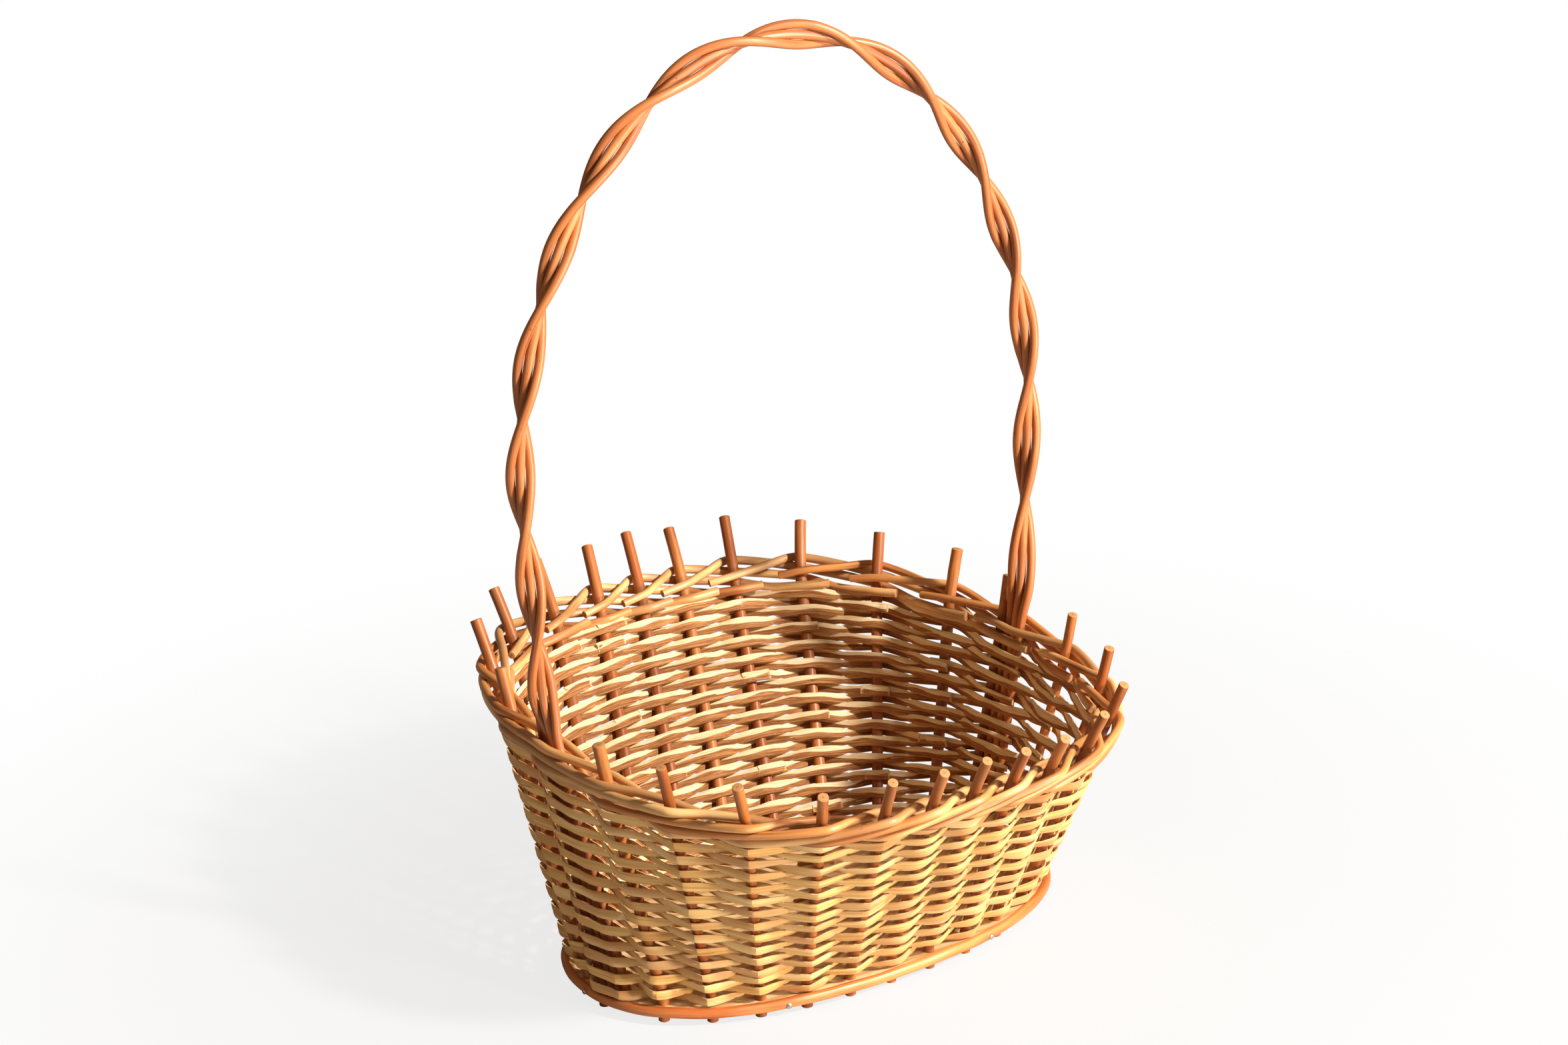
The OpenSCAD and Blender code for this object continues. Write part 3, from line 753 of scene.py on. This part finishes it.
def row_course(r, first, last, laid, rng):
    """Path, up directions and heights of a skein of row r from stake first to stake last, counted on
    past the end. It starts and ends inside, laid that far off the stake at its start."""
    points, ways, extras, pulls = [], [], [], []
    full = rng.uniform(*SKEIN_SIZES)

    def station(p, way, up, tall, slim, wide, pull):
        points.append(p)
        ways.append(way)
        extras.append([*up, tall * full, slim, wide])
        pulls.append(pull)

    def passed(k, along, side, extra=0.0, wide=1.0):
        if side < 0:
            tall, pull, square = INSIDE[k], PULL_INSIDE, SQUARE_INSIDE
        else:
            tall, pull, square = OUTSIDE[k], BEND[k], SQUARE_BACK * BACKWARD[k]
        p = passing(k, along, ROW_Z[r, k], side, SKEIN_HALF, extra, square)
        share = ROW_SHARE[r, k]
        station(p, ALONG[k], UP[k], tall * share, SLIM[k] * share, wide, pull)

    k = first % STAKES
    spots = group_spots(k)
    passed(k, spots[0] - rng.uniform(*START_STUB), -1, laid + rng.uniform(*START_LIFT), STUB_WIDE)
    for along in spots:
        passed(k, along, -1, laid)
    for i in range(first + 1, last + 1):
        k, before = i % STAKES, (i - 1) % STAKES
        z = (ROW_Z[r, k] + ROW_Z[r, before]) / 2
        station(gap_middle(before, z), None, gap_up(before), TALL[k], SLIM[before], 0.0, PULL_GAP)
        spots = group_spots(k)
        for along in spots:
            passed(k, along, row_side(r, k))
    passed(k, spots[-1] + rng.uniform(*END_STUB), -1, rng.uniform(*END_LIFT), STUB_WIDE)
    for i, way in enumerate(ways):
        if way is None:
            ways[i] = unit(points[i + 1] - points[i - 1])
    path, extra = spline(points, ways, extras, COURSE_STEPS, pulls)
    tall, slim, wide = extra[:, 3], extra[:, 4], np.clip(extra[:, 5], 0, 1)
    return path, unit(extra[:, :3]), slim + (tall - slim) * wide**WIDENING


print("skeins are folded over the stakes", CORNER)

# %% [markdown]
# The skeins of a row meet inside, mostly at the back, where their stubs show as on the real basket. A
# short row is drawn from two stakes before its solid to two stakes past it, narrower there, so that
# no hole is left where it closes up.

# %% Skeins of the rows
ROW_SEED = 300
RUN_OUT, END_ROOM, OFTEN_JOINED, JOIN_ROOM = 2, 4, 0.6, 3
# One join of each full row takes turns in places along the back, in strides
JOIN_STRIDE, JOIN_PLACES = 3, 5


def row_spans(r, rng):
    """First and last stakes of the skeins of a row."""
    inside = [k for k in range(STAKES) if row_side(r, k) < 0 and k not in (RIGHT_END, LEFT_END)]
    if is_short(r):
        first, last = short_span(r)
        middle = [k for k in inside if first + END_ROOM <= k <= min(last - END_ROOM, BACK_GAPS - 1)]
        joins = [first - RUN_OUT, last + RUN_OUT]
        if middle and rng.uniform() < OFTEN_JOINED:
            joins.insert(1, int(rng.choice(middle)))
        return list(zip(joins, joins[1:]))
    own = 1 + r % 2 + 2 * (JOIN_STRIDE * r % JOIN_PLACES)
    others = [k for k in inside if min((k - own) % STAKES, (own - k) % STAKES) > END_ROOM]
    joins = sorted([own] + rng.choice(others, size=1 + r % 2, replace=False).tolist())
    joins = [k for k in joins if k == own or min(abs(k - q) for q in joins if q != k) > JOIN_ROOM]
    return list(zip(joins, joins[1:] + [joins[0] + STAKES]))


print("skeins of row 1 run between stakes", row_spans(0, np.random.default_rng(ROW_SEED)))

# %% [markdown]
# Splitting leaves loose fibres. A sliver is a thin tapering strand that lifts off its skein, and a few
# of them on each row break up the even weave.

# %% Slivers
SLIVER_RINGS, SLIVER_TAPER, SLIVER_FLAT = 9, 0.85, 0.5
SLIVER_LENGTHS, SLIVER_SIZES = (0.006, 0.02), (0.00016, 0.00034)
# Lift and stray at the tip, as shares of the length
SLIVER_LIFT, SLIVER_STRAY = (0.08, 0.45), 0.12
SLIVER_GRAIN = 0.002


def sliver(strands, start, way, out, length, rng):
    t = np.linspace(0, 1, SLIVER_RINGS)
    lift, side = rng.uniform(*SLIVER_LIFT) * length, rng.normal(0, SLIVER_STRAY) * length
    up = np.cross(out, way)
    path = start + np.outer(t * length, way) + np.outer(t**2 * lift, out) + np.outer(t**2 * side, up)
    r = rng.uniform(*SLIVER_SIZES) * (1 - SLIVER_TAPER * t)
    ring = np.array([up, SLIVER_FLAT * out, -up, -SLIVER_FLAT * out])
    rings = path[:, None] + r[:, None, None] * ring
    rods = np.zeros(rings.shape)
    rods[..., 0] = (t * length + rng.uniform(0, SKEIN_GRAIN))[:, None]
    rods[..., 1:] = rng.normal(0, SLIVER_GRAIN, 2)
    marks = blank_marks(rings)
    marks[..., TONE], marks[..., INNER] = rng.uniform(0, 1), 1
    # A sliver takes the painted light of an upper facet or the painted shade of a lower one, at random
    marks[..., UPPER] = rng.integers(0, 2)
    strands.add(rings, rods, marks)


print("slivers are up to", SLIVER_LENGTHS[1] * 1000, "mm long")

# %% Rows
LAID_OVER = 2 * SKEIN_HALF + 0.0003
MOST_SLIVERS, SLIVERS_INSIDE, SLIVER_DEPTH, END_POINTS = 3, 0.8, 0.0006, 8


def weave(strands, r):
    rng = np.random.default_rng(ROW_SEED + r)
    for first, last in row_spans(r, rng):
        lies_alone = is_short(r) and first == short_span(r)[0] - RUN_OUT
        path, ups, height = row_course(r, first, last, 0.0 if lies_alone else LAID_OVER, rng)
        way, out = skein(strands, path, ups, height, rng)
        for _ in range(int(rng.integers(1, MOST_SLIVERS + 1))):
            at = int(rng.integers(END_POINTS, len(path) - END_POINTS))
            side = -1 if rng.uniform() < SLIVERS_INSIDE else 1
            start = path[at] + side * SLIVER_DEPTH * out[at]
            heading = rng.choice([-1, 1]) * way[at]
            sliver(strands, start, heading, side * out[at], rng.uniform(*SLIVER_LENGTHS), rng)


full_rows = [r for r in range(ROWS) if not is_short(r)]
short_rows = [r for r in range(ROWS) if is_short(r)]
row_nodes = [(f"weave_row_{i + 1:02d}", [r]) for i, r in enumerate(full_rows)]
row_nodes[-1][1].append(EXTRA_ROW)
row_nodes += [(f"short_rows_{i + 1}", short_rows[2 * i:2 * i + 2]) for i in range(len(short_rows) // 2)]
for name, members in row_nodes:
    strands = Strands()
    for r in members:
        weave(strands, r)
    strands.piece(name + "_skeins", "skein", skein_wood, name, sharp=SHARP_SKEIN)
print(len(full_rows), "full rows and", len(short_rows), "short ones")

# %% [markdown]
# ## Border
# The rim is closed by one rod at each stake, laid like a wale. It climbs outside three stakes, goes
# between two of its neighbours to the inside of the fourth and falls there, where it meets the start
# of another rod. From both sides the rods lie on each other like slanted tiles.

# %% Courses of the border rods
BORDER_R, BORDER_LOW, BORDER_STEP, BORDER_SPAN = 0.0027, 0.1393, 0.0056, 4
# Heights in steps: the tail inside, the first stake, the crossing out, the climb from stake to stake,
# the crossing in, the last stake and the tail there
START_TAIL, START, CROSS_OUT = 0.95, 0.8, 0.4
CLIMB, CLIMB_FROM, CLIMB_UNEVEN = 0.98, 0.4, 0.1
CROSS_IN, END, END_TAIL = 2.45, 2.2, 1.75
TAILS, TAIL_MORE = (0.005, 0.010), 0.010
BORDER_PULL, BORDER_STEPS = 0.8, 8


def border_at(k, along, level, side):
    return passing(k, along, BORDER_LOW + level * BORDER_STEP, side, BORDER_R)


def border_path(i, rng):
    """Stops inside the first stake, outside three stakes and inside the last one, with the crossings."""
    end, before = (i + BORDER_SPAN) % STAKES, (i + BORDER_SPAN - 1) % STAKES
    first, last = group_spots(i), group_spots(end)
    tails = rng.uniform(*TAILS, 2)
    stops = [(border_at(i, first[0] - tails[0] - TAIL_MORE, START_TAIL, -1), UP[i])]
    stops += [(border_at(i, along, START, -1), UP[i]) for along in first]
    stops.append((gap_middle(i, BORDER_LOW + CROSS_OUT * BORDER_STEP), gap_up(i)))
    for step in range(1, BORDER_SPAN):
        k = (i + step) % STAKES
        level = CLIMB * step - CLIMB_FROM + rng.uniform(-CLIMB_UNEVEN, CLIMB_UNEVEN)
        stops += [(border_at(k, along, level, 1), UP[k]) for along in group_spots(k)]
    stops.append((gap_middle(before, BORDER_LOW + CROSS_IN * BORDER_STEP), gap_up(before)))
    stops += [(border_at(end, along, END, -1), UP[end]) for along in last]
    stops.append((border_at(end, last[-1] + tails[1] + TAIL_MORE, END_TAIL, -1), UP[end]))
    points, ups = zip(*stops)
    return spline(points, middle_ways(points), ups, BORDER_STEPS, [BORDER_PULL] * len(points))


first_path = border_path(0, np.random.default_rng(0))[0]
print("a border rod is about", round(lengths_of(first_path)[-1], 2), "m long")

# %% Border rods
BORDER_SEED, BORDER_SIDES, MOST_BORDER_KNOTS = 500, 14, 1
BORDER_NAMES = ["right", "back", "left", "front"]
# A rod is thicker at its butt than at its tip. The rods of the back swell in the middle to close the
# rim, and those of the front are slimmer there, so that each shows
BORDER_SIZE, BUTT, TIP, ROD_SIZES, MIDDLE_SWELL = 0.96, 1.08, 0.95, (0.97, 1.03), 0.08

border_strands = [Strands() for _ in BORDER_NAMES]
for i in range(STAKES):
    rng = np.random.default_rng(BORDER_SEED + i)
    path, ups = border_path(i, rng)
    taper = np.linspace(BUTT, TIP, len(path)) * rng.uniform(*ROD_SIZES)
    swell = MIDDLE_SWELL if i < LEFT_END else -MIDDLE_SWELL
    taper += swell * np.sin(np.linspace(0, math.pi, len(path))) ** 2
    radius, knots = BORDER_SIZE * BORDER_R * taper, int(rng.integers(0, MOST_BORDER_KNOTS + 1))
    quarter = (i + STAKES // (2 * len(BORDER_NAMES))) % STAKES * len(BORDER_NAMES) // STAKES
    round_rod(border_strands[quarter], path, ups, radius, rng, BORDER_SIDES, knots)
for side, strands in zip(BORDER_NAMES, border_strands):
    name = "border_rods_" + side
    strands.piece(name + "_peeled", "border_rod", buff_wood["border"], name)
print(STAKES, "border rods in", len(border_strands), "pieces")

# %% [markdown]
# ## Handle
# Three rods lie side by side as a flat ribbon. They come up out of the weave at the left, twist
# fourteen half turns over the arch, a little tighter past the top and looser at the right end, and go
# down into the weave again. A few rounds of smoothing take the corner off where a leg meets the twist.

# %% Handle rods
SHOULDER, ARCH_X, ARCH_Z, TWIST_LOW = 0.2978, 0.166, 0.239, 0.1590
HALF_TURNS, TWIST_GATHER, TURN_STEPS = 14, 0.4, 22
HANDLE_FOOT = BOARD_TOP + 0.0002 + FACE
LEG_POINTS, ARCH_POINTS, SMOOTHINGS = 36, 361, 3
HANDLE_SEED, HANDLE_RODS, HANDLE_SIDES, HANDLE_KNOTS, HANDLE_SIZES = 700, 3, 18, 9, (0.94, 0.98)
ACROSS = np.array([0.0, 1.0, 0.0])


def wall_leg(k, offset):
    z = np.linspace(HANDLE_FOOT, TWIST_LOW, LEG_POINTS)[:-1]
    return np.array([wall_at(k, offset, height) for height in z])


def handle_path(offset):
    """One rod, whose place in the ribbon is offset from its middle."""
    left, right = (
        np.array([wall_at(k, 0.0, z) for z in (TWIST_LOW, STAKE_TOP)]) for k in (LEFT_END, RIGHT_END))
    a = np.linspace(0, math.pi, ARCH_POINTS)
    arch = np.stack([-ARCH_X * np.cos(a), 0 * a, SHOULDER + ARCH_Z * np.sin(a)], -1)
    middle = np.vstack([left, arch, right[::-1]])
    along = lengths_of(middle)
    t = np.linspace(0, 1, HALF_TURNS * TURN_STEPS + 1)
    d = t * along[-1]
    angle = np.interp(d, along[2:-2], a)
    out = unit(np.stack([-np.cos(angle) / ARCH_X, 0 * angle, np.sin(angle) / ARCH_Z], -1))
    twist = math.pi * HALF_TURNS * (t + TWIST_GATHER * t**4 * (1 - t))
    wide = np.cos(twist)[:, None] * ACROSS + np.sin(twist)[:, None] * out
    free = np.stack([np.interp(d, along, middle[:, i]) for i in range(3)], -1) + offset * wide
    far = offset * math.cos(math.pi * HALF_TURNS)
    path = np.vstack([wall_leg(LEFT_END, -offset), free, wall_leg(RIGHT_END, far)[::-1]])
    for _ in range(SMOOTHINGS):
        path[1:-1] = 0.25 * path[:-2] + 0.5 * path[1:-1] + 0.25 * path[2:]
    return path


for j in range(HANDLE_RODS):
    rng = np.random.default_rng(HANDLE_SEED + j)
    strands = Strands()
    path = handle_path((j - 1) * HANDLE_PITCH)
    radius = HANDLE_R * rng.uniform(*HANDLE_SIZES)
    round_rod(strands, path, ACROSS, radius, rng, HANDLE_SIDES, HANDLE_KNOTS)
    name = f"handle_rod_{j + 1}"
    strands.piece(name + "_peeled", "handle_rod", buff_wood["handle"], name)
print("handle rods are", round(lengths_of(path)[-1], 2), "m long")

# %% [markdown]
# ## Hoop and nails
# The foot of the wall is bound by a half-round rod, flat against the board and nailed to it. The nails
# have small domed heads. Both could be kept as CAD shapes, but the rod's slow waves and the domes catch
# the light as the real ones do.

# %% Hoop
HOOP_INSIDE, HOOP_THICK, HOOP_LOW, HOOP_HEIGHT = 0.0049, 0.0038, 0.0050, 0.0062
HOOP_RINGS, FACE_RINGS, HOOP_TONE = 260, 11, 0.4
# Thickness of the edges as a share, how round the face is, and how far the flat side stays inside them
HOOP_EDGE, HOOP_ROUND, HOOP_INSET = 0.3, 0.7, 0.03
# Amount, number and start of the waves round the hoop
HOOP_WAVES = [(0.00025, 9, 1.0), (0.0002, 23, 0.0)]


def foot_out(share):
    along = feet.along(share)
    return np.stack([along[..., 1], -along[..., 0], 0 * along[..., 0]], -1)


share = np.arange(HOOP_RINGS) / HOOP_RINGS
angle = np.linspace(-math.pi / 2, math.pi / 2, FACE_RINGS)
depth = np.concatenate([[0.0], HOOP_EDGE + (1 - HOOP_EDGE) * np.cos(angle) ** HOOP_ROUND, [0.0]])
height = np.concatenate([[HOOP_INSET], 0.5 + 0.5 * np.sin(angle), [1 - HOOP_INSET]])
waves = [amount * np.sin(TAU * count * share + start) for amount, count, start in HOOP_WAVES]
wave = np.sum(waves, axis=0)[:, None]
stand_off = HOOP_INSIDE + depth * (HOOP_THICK + wave)
rings = feet.at(share)[:, None] + stand_off[..., None] * foot_out(share)[:, None]
rings[..., 2] = HOOP_LOW + height * HOOP_HEIGHT + wave
rods = np.stack(np.broadcast_arrays(
    (share * feet.lengths[-1])[:, None], depth * HOOP_THICK, (height - 0.5) * HOOP_HEIGHT), -1)
marks = blank_marks(rings)
marks[..., TONE] = HOOP_TONE
strands = Strands()
strands.add(rings[:, ::-1], rods[:, ::-1], marks, closed=True)
strands.piece("base_hoop_rod", "hoop", buff_wood["hoop"], "base_hoop")
print("hoop", round(feet.lengths[-1], 2), "m round")

# %% Nails
NAIL_GAPS = [2, 7, 11, 15, 20, 24]
NAIL_Z, NAIL_SIDES = 0.00745, 20
# Radius, and how far it stands out of the hoop
NAIL_PROFILE = [
    (0.0008, -0.0115), (0.0008, 0.0), (0.0015, 0.00005), (0.0017, 0.0002), (0.00165, 0.0005),
    (0.0013, 0.0008), (0.0007, 0.00095), (0.0001, 0.001)]
UPWARD = np.array([0, 0, 1.0])


def bright_steel():
    f = Finish("bright_steel")
    worn = f.noise(f.stretch(f.place(), (900, 900, 900)), 3)
    f.set(
        Base_Color=f.mix(f.slope(worn, 0.4, 0.7), colour(186, 184, 178), colour(226, 225, 220)),
        Metallic=1.0, Roughness=f.slope(worn, 0.35, 0.7, 0.22, 0.45))
    f.bump(worn, 0.0001)
    return f.material


nails = Strands()
for k in NAIL_GAPS:
    between = (group_span(k)[1] + group_span(k + 1)[0]) / feet.lengths[-1]
    nail_share = (foot_share[k] + foot_share[k + 1] + between) / 2
    axis = foot_out(nail_share)
    base = feet.at(nail_share) + (HOOP_INSIDE + HOOP_THICK) * axis
    base[2] = NAIL_Z
    angle = np.arange(NAIL_SIDES) * TAU / NAIL_SIDES
    ring = np.cos(angle)[:, None] * np.cross(axis, UPWARD) + np.sin(angle)[:, None] * UPWARD
    rings = np.array([base + stands_out * axis + r * ring for r, stands_out in NAIL_PROFILE])
    nails.add(rings[:, ::-1], rings[:, ::-1], blank_marks(rings))
nails.piece("hoop_nails_steel", "nail", bright_steel(), "hoop_nails")
print(len(NAIL_GAPS), "nails")

# %% [markdown]
# ## Board
# The flat bottom is a plain sawn board. Its CAD shape is right, so it stays and only gets a finish: long
# grain along the basket with slow growth bands, a few darker streaks, and dust rubbed into the pores.

# %% Finish of the board
def sawn_board():
    f = Finish("sawn_board")
    place = f.place()
    bend = f.noise(f.stretch(place, (5, 26, 26)), 3)
    bands = f.node(
        "ShaderNodeTexWave", {"bands_direction": "Y"},
        {"Vector": f.stretch(place, (3, 36, 36)), "Scale": 1.0, "Distortion": 7.0, "Detail": 3.0}, "Fac")
    pores = f.noise(f.stretch(place, (60, 1500, 1500)), 3, 0.6)
    wood = f.mix(f.slope(bands, 0.2, 0.9), colour(226, 190, 138), colour(196, 150, 96))
    wood = f.mix(f.slope(bend, 0.45, 0.75, 0.0, 0.6), wood, colour(178, 130, 80))
    wood = f.mix(f.slope(pores, 0.58, 0.7, 0.0, 0.5), wood, colour(146, 100, 58))
    f.set(Base_Color=wood, Roughness=f.slope(pores, 0.3, 0.7, 0.55, 0.75), Specular_IOR_Level=0.35)
    f.bump(0.4 * bands + pores, 0.0003)
    return f.material


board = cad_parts["base_board"]
board.data.materials.clear()
board.data.materials.append(sawn_board())
print("board", [round(c, 3) for c in board.dimensions])

# %% [markdown]
# ## Floor, light and camera
# The floor is plain and pale, and fades to white away from the basket. A key lamp stands to the right
# in front, where the sun stood, a lower and wider one brightens the wall, and the world fills the
# shadows. The camera was fitted to the rim, the hoop and the handle of the real basket.

# %% Floor
FLOOR_HALF, FLOOR_TINT = 20, (0.5, 0.5, 0.49)
FADE_FROM, FADE_TO, FADE_LEAST = 0.2, 0.7, 0.8

floor_mesh = bpy.data.meshes.new("floor")
floor_corners = [(x * FLOOR_HALF, y * FLOOR_HALF, 0) for x, y in ((-1, -1), (1, -1), (1, 1), (-1, 1))]
floor_mesh.from_pydata(floor_corners, [], [(0, 1, 2, 3)])
floor = add_object("floor", floor_mesh)
paper = Finish("pale_floor")
paper.set(Base_Color=FLOOR_TINT, Roughness=0.9, Specular_IOR_Level=0.1)
away = paper.length(paper.node("ShaderNodeNewGeometry", {}, {}, "Position"))
seen = paper.node("ShaderNodeLightPath", {}, {}, "Is Camera Ray")
glow = paper.node("ShaderNodeEmission", {}, {"Color": (1, 1, 1), "Strength": 1.0})
lit = Wire(paper, paper.shader.outputs[0])
fade = seen * paper.slope(away, FADE_FROM, FADE_TO, FADE_LEAST, 1.0)
mixed = paper.node("ShaderNodeMixShader", {}, {0: fade, 1: lit, 2: glow})
paper.feed(paper.tree.nodes["Material Output"].inputs["Surface"], mixed)
floor_mesh.materials.append(paper.material)
print("floor", 2 * FLOOR_HALF, "m wide")

# %% World
FILL_TINT, FILL_STRENGTH = (1.0, 0.74, 0.5, 1), 0.22

world = bpy.data.worlds.new("studio")
bpy.context.scene.world = world
world.use_nodes = True
nodes, links = world.node_tree.nodes, world.node_tree.links
fill = nodes["Background"]
fill.inputs["Color"].default_value = FILL_TINT
fill.inputs["Strength"].default_value = FILL_STRENGTH
white = nodes.new("ShaderNodeBackground")
white.inputs["Color"].default_value = (1, 1, 1, 1)
rays, pick = nodes.new("ShaderNodeLightPath"), nodes.new("ShaderNodeMixShader")
links.new(rays.outputs["Is Camera Ray"], pick.inputs[0])
links.new(fill.outputs[0], pick.inputs[1])
links.new(white.outputs[0], pick.inputs[2])
links.new(pick.outputs[0], nodes["World Output"].inputs["Surface"])
print("the world fills the shadows at", FILL_STRENGTH)

# %% Lamps
def put(obj, right, up, back, place):
    """Turns a lamp or a camera by its own three directions, and puts it in its place."""
    axes = np.stack([right, up, back], 1)
    obj.matrix_world = Matrix([[*axes[i], place[i]] for i in range(3)] + [[0, 0, 0, 1]])


def soft_lamp(name, place, target, size, watts, tint):
    lamp = bpy.data.lights.new(name, "AREA")
    lamp.shape, lamp.size, lamp.energy, lamp.color = "DISK", size, watts, tint
    back = unit(np.array(place, float) - np.array(target, float))
    right = unit(np.cross(UPWARD, back))
    put(add_object(name, lamp), right, np.cross(back, right), back, place)


soft_lamp("key", (1.25, -2.0, 1.9), (0, 0, 0.15), size=0.3, watts=150, tint=(1.0, 0.97, 0.92))
soft_lamp("low", (1.25, -2.4, 0.4), (0, 0, 0.1), size=0.5, watts=84, tint=(1.0, 0.93, 0.84))
print("two lamps")

# %% Camera
FOCAL_PX, WIDTH_PX, SENSOR_MM = 5016.0, 2352.0, 36.0
YAW, PITCH, ROLL = 0.498, 0.358, -0.032
EYE = (-0.8649, -1.5870, 0.9285)

ahead = np.array([math.sin(YAW) * math.cos(PITCH), math.cos(YAW) * math.cos(PITCH), -math.sin(PITCH)])
level = np.array([math.cos(YAW), -math.sin(YAW), 0.0])
above = np.cross(level, ahead)
right = math.cos(ROLL) * level + math.sin(ROLL) * above
up = math.cos(ROLL) * above - math.sin(ROLL) * level
lens = bpy.data.cameras.new("camera")
lens.sensor_fit, lens.sensor_width = "HORIZONTAL", SENSOR_MM
lens.lens = FOCAL_PX / WIDTH_PX * SENSOR_MM
lens.clip_end = 100
camera = add_object("camera", lens)
put(camera, right, up, -ahead, EYE)
bpy.context.scene.camera = camera
bpy.context.scene.view_settings.view_transform = "Standard"
print("lens", round(lens.lens, 1), "mm")

# %% The end
bpy.context.view_layer.update()
